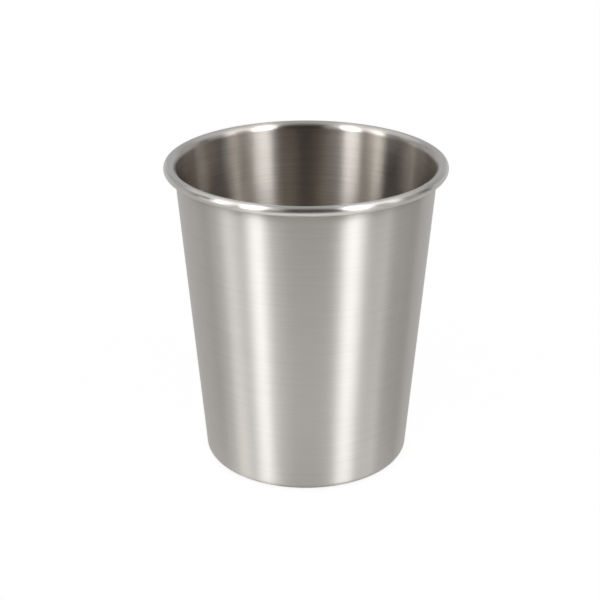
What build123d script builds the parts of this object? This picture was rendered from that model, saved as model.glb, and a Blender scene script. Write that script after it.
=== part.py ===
from build123d import *
from math import acos, asin, atan2, degrees, radians, sin, tan
import os

# A deep drawn cup, pressed from one disc of stainless sheet: a base with a raised centre, a tapered wall,
# and a free edge that is rolled outwards and under into a hollow rim. All sizes are in millimetres.

# Sizes over the outside of the cup
rim_diameter = 80.0  # across the rolled rim
cup_height = 89.3  # from the foot to the top of the rim
base_diameter = 59.2  # where the wall's outer face would meet the foot with a sharp corner

# The sheet, and its bends as measured on each bend's tight face
sheet_thickness = 0.5
corner_bend_radius = 2.0  # base to wall
step_bend_radius = 1.5  # both bends of the step around the raised centre
roll_bend_radius = 0.85  # the hollow inside the rolled rim

# The rolled rim
roll_turn = 255.0  # degrees that the edge is rolled on past the top of the rim
roll_gap = 0.3  # room between the rolled edge and the wall

# The base
foot_width = 3.5  # the flat ring that the cup stands on
panel_rise = 0.8  # how far the raised centre stands above that ring

# Bend radii on the face that is not the tight one
corner_radius = corner_bend_radius + sheet_thickness
roll_radius = roll_bend_radius + sheet_thickness
lead_bend_radius = roll_radius + roll_gap  # the wider bend that leads from the wall into the roll
lead_radius = lead_bend_radius + sheet_thickness

# The wall's outer face starts at the base's sharp corner and runs up tangent to the lead bend
base_corner = Vector(base_diameter / 2, 0)
lead_centre = Vector(rim_diameter / 2 - roll_radius, cup_height - lead_radius)
wall_reach = lead_centre - base_corner
taper = degrees(atan2(wall_reach.X, wall_reach.Y) - asin(lead_bend_radius / wall_reach.length))
wall_turn = 90 - taper  # from the level base to the wall, and from the wall to the level top of the rim

# The foot ring lies between the corner bend and the step
foot_outer_radius = base_corner.X - corner_radius * tan(radians(wall_turn / 2))
foot_inner_radius = foot_outer_radius - foot_width

# The step is two bends of one angle, so its rise and run follow from the sum of their radii
step_radii = 2 * step_bend_radius + sheet_thickness
step_turn = degrees(acos(1 - panel_rise / step_radii))
panel_radius = foot_inner_radius - step_radii * sin(radians(step_turn))


def sheet_face(depth):
    """Draw the section of one face of the sheet, that far below its inner face, from the axis to the edge."""
    level = sheet_thickness - depth
    panel = Line((0, level + panel_rise), (panel_radius, level + panel_rise))
    step_down = JernArc(panel @ 1, panel % 1, step_bend_radius + level, -step_turn)
    step_out = JernArc(step_down @ 1, step_down % 1, step_bend_radius + depth, step_turn)
    foot = Line(step_out @ 1, (foot_outer_radius, level))
    corner = JernArc(foot @ 1, foot % 1, corner_bend_radius + depth, wall_turn)
    wall_end = lead_centre + Vector(depth - lead_radius, 0).rotate(Axis.Z, -taper)
    wall = Line(corner @ 1, wall_end)
    lead = JernArc(wall @ 1, wall % 1, lead_radius - depth, -wall_turn)
    roll = JernArc(lead @ 1, lead % 1, roll_radius - depth, -roll_turn)
    return panel, roll


with BuildPart() as cup:
    with BuildSketch(Plane.XZ):
        with BuildLine():
            inner_panel, inner_roll = sheet_face(0)
            outer_panel, outer_roll = sheet_face(sheet_thickness)
            Line(inner_panel @ 0, outer_panel @ 0)
            Line(inner_roll @ 1, outer_roll @ 1)
        make_face()
    revolve(axis=Axis.Z)

cup.part.label = "cup"
os.makedirs("parts", exist_ok=True)
export_step(cup.part, "parts/cup.step")
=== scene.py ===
import math

import bpy
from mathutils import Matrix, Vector


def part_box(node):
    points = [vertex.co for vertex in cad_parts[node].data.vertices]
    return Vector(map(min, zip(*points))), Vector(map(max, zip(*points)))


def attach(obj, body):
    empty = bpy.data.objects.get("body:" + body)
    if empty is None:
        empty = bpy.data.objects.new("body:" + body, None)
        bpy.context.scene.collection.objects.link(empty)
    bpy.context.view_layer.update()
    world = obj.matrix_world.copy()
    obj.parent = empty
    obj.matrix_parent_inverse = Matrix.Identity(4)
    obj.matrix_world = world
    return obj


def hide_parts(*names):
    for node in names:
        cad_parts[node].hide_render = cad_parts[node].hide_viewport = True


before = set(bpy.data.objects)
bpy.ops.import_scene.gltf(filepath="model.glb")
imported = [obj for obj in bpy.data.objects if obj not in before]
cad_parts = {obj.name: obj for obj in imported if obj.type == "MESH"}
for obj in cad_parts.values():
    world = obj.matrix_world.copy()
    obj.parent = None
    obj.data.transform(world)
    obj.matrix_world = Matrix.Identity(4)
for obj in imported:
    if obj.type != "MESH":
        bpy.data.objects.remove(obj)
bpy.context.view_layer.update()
cupLow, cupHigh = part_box("cup")
mm = 0.001  # Blender works in metres


# Node trees

class Wire:  # one socket, on which Python's operators add Math nodes
    def __init__(self, board, socket):
        self.board = board
        self.socket = socket

    def math(self, operation, *others):
        return self.board.math(operation, self, *others)

    def out(self, name):  # another output of the same node
        return Wire(self.board, self.socket.node.outputs[name])

    def __add__(self, other):
        return self.board.math("ADD", self, other)

    def __sub__(self, other):
        return self.board.math("SUBTRACT", self, other)

    def __rsub__(self, other):
        return self.board.math("SUBTRACT", other, self)

    def __mul__(self, other):
        return self.board.math("MULTIPLY", self, other)

    def __truediv__(self, other):
        return self.board.math("DIVIDE", self, other)

    def __rtruediv__(self, other):
        return self.board.math("DIVIDE", other, self)

    def __neg__(self):
        return self.board.math("MULTIPLY", self, -1)

    __radd__ = __add__
    __rmul__ = __mul__


class Board:  # a node tree, with one method that adds any node to it
    def __init__(self, tree):
        self.tree = tree

    def node(self, kind, settings={}, sockets={}, out=0):
        made = self.tree.nodes.new(kind)
        for name, value in settings.items():
            setattr(made, name, value)
        for name, value in sockets.items():
            if isinstance(value, Wire):
                self.tree.links.new(value.socket, made.inputs[name])
            else:
                made.inputs[name].default_value = value
        return Wire(self, made.outputs[out]) if made.outputs else made

    def math(self, operation, *values):
        return self.node("ShaderNodeMath", {"operation": operation}, dict(enumerate(values)))

    def ramp(self, value, start, end):  # 0 before start, 1 after end, straight between
        slope = 1 / (end - start)
        return self.node("ShaderNodeMath", {"operation": "MULTIPLY_ADD", "use_clamp": True},
                         {0: value, 1: slope, 2: -start * slope})

    def colourMix(self, blend, share, first, second):
        return self.node("ShaderNodeMix", {"data_type": "RGBA", "blend_type": blend},
                         {0: share, 6: first, 7: second}, out=2)  # a Mix node numbers its colour sockets so


def sine(angle):
    return angle.math("SINE") if isinstance(angle, Wire) else math.sin(angle)


def cosine(angle):
    return angle.math("COSINE") if isinstance(angle, Wire) else math.cos(angle)


def newMaterial(name, makeShader):
    material = bpy.data.materials.new(name)
    material.use_nodes = True
    material.node_tree.nodes.clear()
    board = Board(material.node_tree)
    board.node("ShaderNodeOutputMaterial", {}, {"Surface": makeShader(board)})
    return material


# Finish

steel = {
    "darkColour": (0.550, 0.525, 0.492, 1),
    "paleColour": (0.660, 0.631, 0.592, 1),
    "insideShadeTint": (0.83, 0.808, 0.78, 1),  # painted shade: the inside is darker and warmer than the outside, for the shade in the hollow
    "rollShadeTint": (0.74, 0.74, 0.74, 1),  # painted shade on the top of the wall just under the roll, standing in for the roll's shadow
    "rollShadeReach": 3.5 * mm,
    "outsideRoughness": 0.40,
    "insideRoughness": 0.278,
    "rimRoughness": 0.278,
    "anisotropy": 1.0,
    "grainTurn": 0.25,  # a quarter turn, so that highlights spread across the brush lines
    "scratch": {"length": 30 * mm, "pitch": 0.1 * mm, "detail": 1.0},  # the finest lines, a bump
    "brush": {"length": 16 * mm, "pitch": 0.25 * mm, "detail": 1.0},  # single brush lines
    "streak": {"length": 35 * mm, "pitch": 1.1 * mm, "detail": 2.0},  # bands of deeper and shallower lines
    "streakShare": 0.3,  # of the grain, the rest of which is brush lines
    "grainRange": (0.36, 0.64),  # of the noise, stretched to run from 0 to 1
    "outsideContrast": 0.38,  # of colour, from line to line
    "insideContrast": 1.0,
    "outsideSpread": 0.03,  # of roughness, from line to line
    "insideSpread": 0.004,
    "outsideDepth": 0.005 * mm,  # of the scratches
    "insideDepth": 0.008 * mm,
}


def brushedShader(board):
    inside, rim, run, belowRoll = [
        board.node("ShaderNodeAttribute", {"attribute_name": name}, out="Fac")
        for name in ("inside", "rim", "run", "belowRoll")]
    place = board.node("ShaderNodeSeparateXYZ", {}, {0: board.node("ShaderNodeTexCoord", out="Object")})
    along = run + inside  # a metre further on inside, so that the two faces have their own lines

    def lines(kind):  # long round the axis, narrow along the section
        stretched = board.node("ShaderNodeCombineXYZ", {}, {
            "X": place.out("X") * (1 / kind["length"]),
            "Y": place.out("Y") * (1 / kind["length"]),
            "Z": along / kind["pitch"],
        })
        return board.node("ShaderNodeTexNoise", {}, {
            "Vector": stretched, "Scale": 1.0, "Detail": kind["detail"]}, out="Fac")

    def byFace(name):
        return inside * (steel["inside" + name] - steel["outside" + name]) + steel["outside" + name]

    share = steel["streakShare"]
    grain = lines(steel["brush"]) * (1 - share) + lines(steel["streak"]) * share
    swing = board.ramp(grain, *steel["grainRange"]) - 0.5  # either side of a middling line
    roughness = byFace("Roughness") + byFace("Spread") * swing
    roughness = roughness + rim * (steel["rimRoughness"] - roughness)
    scratches = lines(steel["scratch"]) * byFace("Depth") * (1 - rim)  # the rim is smooth
    normal = board.node("ShaderNodeBump", {}, {"Strength": 1.0, "Distance": 1.0, "Height": scratches})
    paleness = swing * byFace("Contrast") + 0.5  # a middling line is half way between the two colours
    colour = board.colourMix("MIX", paleness, steel["darkColour"], steel["paleColour"])
    # painted shade: the inside face, apart from the rim, is darkened and warmed for the shade in the hollow
    colour = board.colourMix("MULTIPLY", inside * (1 - rim), colour, steel["insideShadeTint"])
    # painted shade: the outer wall darkens towards the roll over its last few millimetres, for the shadow
    # under the roll
    paintedRollShade = board.ramp(belowRoll, steel["rollShadeReach"], 0) * (1 - inside)
    colour = board.colourMix("MULTIPLY", paintedRollShade, colour, steel["rollShadeTint"])
    return board.node("ShaderNodeBsdfPrincipled", {}, {
        "Base Color": colour,
        "Metallic": 1.0,
        "Roughness": roughness,
        "Normal": normal,
        "Anisotropic": steel["anisotropy"],
        "Anisotropic Rotation": steel["grainTurn"],
    })


# The drawn cup, one sheet followed along its section and turned about the axis

cup = {
    "sizes": {  # the tree's named inputs
        "rimRadius": cupHigh.x,
        "height": cupHigh.z,
        "baseRadius": 29.6 * mm,  # where the wall's outer face would meet the foot with a sharp corner
        "sheet": 0.5 * mm,
        "cornerBend": 2.0 * mm,  # bends are measured on their tight face
        "stepBend": 1.5 * mm,
        "rollBend": 0.85 * mm,
        "rollTurn": math.radians(255),
        "rollGap": 0.3 * mm,
        "footWidth": 3.5 * mm,
        "panelRise": 0.8 * mm,
    },
    "segments": 240,  # around the axis
    "rows": {"panel": 12, "step": 8, "foot": 4, "corner": 12, "wall": 40, "lead": 14, "roll": 40},
    "holdRow": 0.1 * mm,  # narrow rows that keep the straights' shading straight beside a bend
    "weld": 0.001 * mm,
}


def sheetSpans(size):
    rows = cup["rows"]
    hold = cup["holdRow"]
    rollRadius = size["rollBend"] + size["sheet"]
    leadBend = rollRadius + size["rollGap"]
    leadRadius = leadBend + size["sheet"]
    cornerRadius = size["cornerBend"] + size["sheet"]
    reachAcross = size["rimRadius"] - rollRadius - size["baseRadius"]  # from sharp corner to lead's centre
    reachUp = size["height"] - leadRadius
    reachSquared = reachAcross * reachAcross + reachUp * reachUp
    lean = reachAcross.math("ARCTAN2", reachUp)
    taper = lean - (leadBend / reachSquared.math("SQRT")).math("ARCSINE")  # the wall is a tangent to the lead
    wallTurn = math.pi / 2 - taper
    cornerRun = cornerRadius * (wallTurn / 2).math("TANGENT")
    wallLength = (reachSquared - leadBend * leadBend).math("SQRT") - cornerRun
    stepRadii = 2 * size["stepBend"] + size["sheet"]
    stepTurn = (1 - size["panelRise"] / stepRadii).math("ARCCOSINE")
    panelRadius = size["baseRadius"] - cornerRun - size["footWidth"] - stepRadii * sine(stepTurn)

    def straight(name, length):
        return [(name, 1, hold, 0), (name, rows[name] - 2, length - 2 * hold, 0), (name, 1, hold, 0)]

    return [  # name, rows, length or radius, turn: left is up and right is down
        *straight("panel", panelRadius),
        ("step", rows["step"], size["stepBend"] + size["sheet"], -stepTurn),
        ("step", rows["step"], size["stepBend"], stepTurn),
        *straight("foot", size["footWidth"]),
        ("corner", rows["corner"], size["cornerBend"], wallTurn),
        *straight("wall", wallLength),
        ("lead", rows["lead"], leadRadius, -wallTurn),
        ("roll", rows["roll"], rollRadius, -size["rollTurn"]),
    ]


def followSheet(board, spans, row, up):  # along the upper face, from the axis to the rolled edge
    heading = 0.0  # at the start of the span
    turned = 0.0  # at this row
    across = 0.0
    run = 0.0
    firstRow = 0
    sheetEnd = 0.0
    starts = {}
    for name, rows, length, bend in spans:
        starts.setdefault(name, {"row": firstRow, "run": sheetEnd})
        share = board.ramp(row, firstRow, firstRow + rows)
        if isinstance(bend, Wire):
            side = bend.math("SIGN") * length
            angle = heading + bend * share
            across = across + side * (sine(angle) - sine(heading))
            up = up + side * (cosine(heading) - cosine(angle))
            span = length * bend.math("ABSOLUTE")
            turned = turned + bend * share
            heading = heading + bend
        else:
            across = across + cosine(heading) * length * share
            up = up + sine(heading) * length * share
            span = length
        run = run + share * span
        firstRow = firstRow + rows
        sheetEnd = sheetEnd + span
    return across, up, turned, run, sheetEnd, starts


def cupTree(material):
    tree = bpy.data.node_groups.new("drawnCup", "GeometryNodeTree")
    tree.interface.new_socket("cup", in_out="OUTPUT", socket_type="NodeSocketGeometry")
    for name in cup["sizes"]:
        tree.interface.new_socket(name, in_out="INPUT", socket_type="NodeSocketFloat")
    board = Board(tree)
    inputs = board.node("NodeGroupInput")
    size = {name: inputs.out(name) for name in cup["sizes"]}
    spans = sheetSpans(size)
    lastRow = sum(span[1] for span in spans)
    gridRows = 2 * lastRow + 1  # both faces, and the cut edge between them

    grid = board.node("GeometryNodeMeshGrid", {}, {
        "Size X": 1.0, "Size Y": 1.0, "Vertices X": cup["segments"] + 1, "Vertices Y": gridRows + 1})
    place = board.node("ShaderNodeSeparateXYZ", {}, {0: board.node("GeometryNodeInputPosition")})
    turn = (0.5 - place.out("X")) * math.tau  # this way round, so that faces point out of the sheet
    gridRow = ((place.out("Y") + 0.5) * gridRows).math("ROUND")  # the grid's middle is at 0
    outer = gridRow.math("GREATER_THAN", lastRow + 0.5)  # between the two faces' last rows
    row = gridRow + outer * (gridRows - 2 * gridRow)  # both faces count from the axis to the rolled edge
    panelTop = size["sheet"] + size["panelRise"]
    across, up, turned, run, sheetEnd, starts = followSheet(board, spans, row, panelTop)
    depth = outer * size["sheet"]
    across = across + depth * sine(turned)
    up = up - depth * cosine(turned)

    quarterRow = 0.25 / gridRows
    cut = place.out("Y").math("ABSOLUTE").math("LESS_THAN", quarterRow)  # the middle row of faces
    shaded = board.node("GeometryNodeSetShadeSmooth", {}, {"Geometry": grid, "Shade Smooth": 1 - cut})
    finishValues = {
        "run": run,
        "belowRoll": starts["lead"]["run"] - run,
        "inside": 1 - outer,
        "rim": board.ramp(row, starts["lead"]["row"], starts["roll"]["row"]) * (1 - outer),
    }
    for name, value in finishValues.items():
        shaded = board.node("GeometryNodeStoreNamedAttribute", {"data_type": "FLOAT", "domain": "POINT"},
                            {"Geometry": shaded, "Name": name, "Value": value})
    runShare = run / (2 * sheetEnd + size["sheet"])
    unrolled = board.node("ShaderNodeCombineXYZ", {}, {  # both faces side by side, the cut edge between them
        "X": place.out("X") + 0.5, "Y": outer + (1 - 2 * outer) * runShare})
    shaded = board.node("GeometryNodeStoreNamedAttribute", {"data_type": "FLOAT2", "domain": "CORNER"},
                        {"Geometry": shaded, "Name": "OFBake", "Value": unrolled})
    section = board.node("ShaderNodeCombineXYZ", {}, {
        "X": across * cosine(turn), "Y": across * sine(turn), "Z": up})
    turnedSheet = board.node("GeometryNodeSetPosition", {}, {"Geometry": shaded, "Position": section})
    welded = board.node("GeometryNodeMergeByDistance", {}, {"Geometry": turnedSheet, "Distance": cup["weld"]})
    realised = board.node("GeometryNodeRealizeInstances", {}, {"Geometry": welded})
    finished = board.node("GeometryNodeSetMaterial", {}, {"Geometry": realised, "Material": material})
    board.node("NodeGroupOutput", {}, {"cup": finished})
    return tree


def makeCup():
    tree = cupTree(newMaterial("brushedSteel", brushedShader))
    piece = bpy.data.objects.new("drawnCup", bpy.data.meshes.new("drawnCup"))
    bpy.context.scene.collection.objects.link(piece)
    modifier = piece.modifiers.new("draw", "NODES")
    modifier.node_group = tree
    for item in tree.interface.items_tree:
        if item.in_out == "INPUT":
            modifier[item.identifier] = cup["sizes"][item.name]
    depsgraph = bpy.context.evaluated_depsgraph_get()
    mesh = bpy.data.meshes.new_from_object(piece.evaluated_get(depsgraph), preserve_all_data_layers=True,
                                           depsgraph=depsgraph)
    mesh.materials.pop(index=0)  # the grid's own slot, which is empty
    piece.modifiers.clear()
    piece.data = mesh
    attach(piece, "root")
    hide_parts("cup")
    print("cup:", len(mesh.vertices), "vertices,", len(mesh.polygons), "faces")


# Camera

view = {
    "elevation": math.radians(23.43),
    "distance": 448.7 * mm,  # from the middle of the cup
    "imageWidth": 600,  # pixels
    "focalPixels": 1536.5,
    "aimPixel": (305.6, 305.7),  # where the photograph has the middle of the cup
}


def makeCamera():
    data = bpy.data.cameras.new("photoCamera")
    camera = bpy.data.objects.new("photoCamera", data)
    bpy.context.scene.collection.objects.link(camera)
    back = Vector((0, -math.cos(view["elevation"]), math.sin(view["elevation"])))
    camera.location = Vector((0, 0, cupHigh.z / 2)) + back * view["distance"]
    camera.rotation_euler = back.to_track_quat("Z", "Y").to_euler()
    data.lens = data.sensor_width * view["focalPixels"] / view["imageWidth"]
    middlePixel = (view["imageWidth"] - 1) / 2
    data.shift_x = (middlePixel - view["aimPixel"][0]) / view["imageWidth"]
    data.shift_y = (view["aimPixel"][1] - middlePixel) / view["imageWidth"]
    bpy.context.scene.camera = camera
    print("camera:", tuple(round(x, 4) for x in camera.location))


# Studio

studio = {
    "white": (1, 1, 1, 1),
    "coolWhite": (0.98, 1.0, 1.03, 1),
    "ambient": 0.45,  # the room's light on the floor
    "cardDistance": 1.8,
    "cardStep": 0.02,  # each card hangs this far in front of the one before it
    "facet": 2,  # degrees, of a curved card
    "feather": (6, 4),  # degrees in which a card fades out at its sides and at its top and bottom
    "cards": {  # degrees, azimuths from the camera round to the right; level 1 is as bright as the background
        "frontOver": {"azimuth": (-40, 40), "elevation": (60, 100), "feather": (6, 10), "level": 0.25},
        "leftOver": {"azimuth": (-110, -34), "elevation": (56, 100), "feather": (6, 10), "level": 0.8},
        "rightOver": {"azimuth": (34, 110), "elevation": (56, 100), "feather": (6, 10), "level": 0.8},
        "backOver": {"azimuth": (104, 256), "elevation": (58, 100), "feather": (6, 10), "level": 0.8},
        "darkFront": {"azimuth": (-34, 34), "elevation": (-9, 72), "feather": (6, 12), "level": 0.012},
        "leftLow": {"azimuth": (-124, -28), "elevation": (-9, 14), "level": 0.3},
        "darkLeft": {"azimuth": (-110, -28), "elevation": (10, 44), "level": 0.03},
        "darkRight": {"azimuth": (28, 120), "elevation": (-9, 44), "level": 0.03},
        "leftTop": {"azimuth": (-96, -50), "elevation": (38, 62), "level": 2.0},
        "rightTop": {"azimuth": (50, 98), "elevation": (38, 62), "level": 2.3},
        "backLeft": {"azimuth": (198, 256), "elevation": (10, 42), "level": 0.5, "cool": True},
        "backRight": {"azimuth": (112, 162), "elevation": (10, 42), "level": 0.5, "cool": True},
        "backLeftHigh": {"azimuth": (198, 262), "elevation": (36, 64), "level": 1.1, "cool": True},
        "backRightHigh": {"azimuth": (104, 162), "elevation": (36, 64), "level": 0.9, "cool": True},
        "backLowLeft": {"azimuth": (198, 262), "elevation": (-9, 12), "level": 0.8, "cool": True},
        "backLowRight": {"azimuth": (112, 162), "elevation": (-9, 12), "level": 0.8, "cool": True},
        "backMiddle": {"azimuth": (156, 204), "elevation": (-9, 66), "feather": (6, 6), "level": 0.6,
                       "cool": True},
        "rightLow": {"azimuth": (52, 78), "elevation": (-9, 14), "level": 1.3},
        "leftSideLow": {"azimuth": (-92, -58), "elevation": (-9, 14), "feather": (4, 4), "level": 1.6},
        "leftSide": {"azimuth": (-80, -56), "elevation": (10, 44), "feather": (4, 4), "level": 1.5},
        "leftSideCore": {"azimuth": (-79, -67), "elevation": (12, 44), "feather": (2, 6), "level": 4.6},
        "rightSide": {"azimuth": (68, 85), "elevation": (10, 44), "feather": (4, 4), "level": 1.7},
        "rightFar": {"azimuth": (84, 106), "elevation": (10, 44), "level": 0.6},
        "leftFar": {"azimuth": (-114, -94), "elevation": (10, 44), "level": 0.45},
        "leftFill": {"azimuth": (-34, -17), "elevation": (10, 60), "feather": (4, 8), "level": 0.7},
        "leftSoftbox": {"azimuth": (-55, -33), "elevation": (-9, 64), "feather": (4, 24), "level": 1.0,
                        "lamp": True},
        "rightSoftbox": {"azimuth": (36, 59), "elevation": (-9, 64), "feather": (4, 24), "level": 1.0,
                         "lamp": True},
        "leftCore": {"azimuth": (-53, -36), "elevation": (14, 58), "feather": (1.5, 6), "level": 9.0,
                     "cool": True},
        "rightCore": {"azimuth": (32.5, 52), "elevation": (14, 58), "feather": (1.5, 6), "level": 8.7,
                      "cool": True},
        "tableEdge": {"azimuth": (-40, 40), "elevation": (-3, 20), "feather": (8, 3), "level": 0.03,
                      "distance": 0.24},
    },
}


def stagePiece(name, points, faces, material):
    mesh = bpy.data.meshes.new(name)
    mesh.from_pydata(points, [], faces)
    mesh.materials.append(material)
    piece = bpy.data.objects.new(name, mesh)
    bpy.context.scene.collection.objects.link(piece)
    return piece


def sightLines(board):  # 1 where the camera looks straight, and 1 where it looks by way of metal or glass
    path = board.node("ShaderNodeLightPath")
    straight = path.out("Is Camera Ray")
    mirrored = path.out("Is Glossy Ray").math("MAXIMUM", path.out("Is Transmission Ray"))
    return straight, mirrored


def makeCard(name, card, distance):
    def cardShader(board):
        cover = board.node("ShaderNodeAttribute", {"attribute_name": "cover"}, out="Fac")
        nothing = board.node("ShaderNodeBsdfTransparent")
        colour = studio["coolWhite"] if card.get("cool") else studio["white"]
        glow = board.node("ShaderNodeEmission", {}, {"Color": colour, "Strength": card["level"]})
        return board.node("ShaderNodeMixShader", {}, {0: cover, 1: nothing, 2: glow})

    def steps(low, high):
        count = math.ceil((high - low) / studio["facet"])
        return [low + (high - low) * step / count for step in range(count + 1)]

    def fade(value, span, feather):  # 0 at both ends of the span, 1 from a feather's width inside them
        return min((value - span[0]) / feather, (span[1] - value) / feather, 1)

    sideFeather, endFeather = card.get("feather", studio["feather"])
    azimuths = steps(*card["azimuth"])
    elevations = steps(*card["elevation"])
    points = []
    covers = []
    for azimuth in azimuths:
        for elevation in elevations:
            turn = math.radians(azimuth)
            lift = math.radians(elevation)
            flat = math.cos(lift)
            points.append(Vector((math.sin(turn) * flat, -math.cos(turn) * flat, math.sin(lift))) * distance)
            sideCover = fade(azimuth, card["azimuth"], sideFeather)
            covers.append(sideCover * fade(elevation, card["elevation"], endFeather))
    tall = len(elevations)
    faces = []
    for column in range(len(azimuths) - 1):
        for row in range(tall - 1):
            corner = column * tall + row
            faces.append((corner, corner + 1, corner + tall + 1, corner + tall))
    piece = stagePiece(name, points, faces, newMaterial(name, cardShader))
    piece.data.attributes.new("cover", "FLOAT", "POINT").data.foreach_set("value", covers)
    piece.visible_camera = False
    piece.visible_shadow = False
    piece.visible_diffuse = card.get("lamp", False)  # the others are there for the metal alone


def makeLights():
    world = bpy.data.worlds.new("studio")
    bpy.context.scene.world = world
    world.use_nodes = True
    world.node_tree.nodes.clear()
    board = Board(world.node_tree)
    straight, mirrored = sightLines(board)
    strength = straight.math("MAXIMUM", mirrored) * (1 - studio["ambient"]) + studio["ambient"]
    background = board.node("ShaderNodeBackground", {}, {"Color": studio["white"], "Strength": strength})
    board.node("ShaderNodeOutputWorld", {}, {"Surface": background})
    for order, (name, card) in enumerate(studio["cards"].items()):
        makeCard(name, card, card.get("distance", studio["cardDistance"] - order * studio["cardStep"]))
    print("studio:", len(studio["cards"]), "cards")


floor = {
    "size": 6.0,
    "drop": 0.03 * mm,  # just below the foot, so that the two faces don't lie in one plane
    "cutOut": 27.2 * mm,  # a radius within which the floor is open, so that the underside can be seen
    "contact": (28.5 * mm, 30.5 * mm),  # radii between which the shade where the cup stands ends
    "colour": 0.25,  # what the lamps light, so that the cup's shadow shows
    "glow": 0.88,  # what makes it white to the camera
    "mirroredColour": 0.75,  # the same two as the metal shows them, with more of the shadow
    "mirroredGlow": 0.34,
    "pool": {"middle": (0, -0.17, 0), "radii": (0.17, 0.06), "glow": 0.7},  # a painted pool of light on the floor in front of the cup, seen in the metal only
}


def floorShader(board):
    straight, mirrored = sightLines(board)
    place = board.node("ShaderNodeTexCoord", out="Object")
    fromCup = board.node("ShaderNodeVectorMath", {"operation": "LENGTH"}, {0: place}, out="Value")
    fromPool = board.node("ShaderNodeVectorMath", {"operation": "DISTANCE"},
                          {0: place, 1: floor["pool"]["middle"]}, out="Value")
    pool = board.ramp(fromPool, *floor["pool"]["radii"]) * floor["pool"]["glow"]
    # painted shadow: as the metal sees it, the floor's glow and colour fade to nothing round the cup's foot
    clear = board.ramp(fromCup, *floor["contact"])
    glow = straight * floor["glow"] + mirrored * clear * (pool + floor["mirroredGlow"])
    colour = straight * floor["colour"] + (1 - straight) * clear * floor["mirroredColour"]
    glowing = board.node("ShaderNodeEmission", {}, {"Color": glow, "Strength": 1.0})
    lit = board.node("ShaderNodeBsdfDiffuse", {}, {"Color": colour})
    pale = board.node("ShaderNodeAddShader", {}, {0: glowing, 1: lit})
    fromBelow = board.node("ShaderNodeNewGeometry", out="Backfacing")
    opened = fromBelow.math("MAXIMUM", fromCup.math("LESS_THAN", floor["cutOut"]))
    nothing = board.node("ShaderNodeBsdfTransparent")
    return board.node("ShaderNodeMixShader", {}, {0: opened, 1: pale, 2: nothing})


def makeFloor():
    half = floor["size"] / 2
    level = -floor["drop"]
    corners = [(-half, -half, level), (half, -half, level), (half, half, level), (-half, half, level)]
    stagePiece("studioFloor", corners, [(0, 1, 2, 3)], newMaterial("paleFloor", floorShader))
    print("floor: laid")


makeCamera()
makeCup()
makeFloor()
makeLights()
bpy.context.scene.view_settings.view_transform = "Standard"
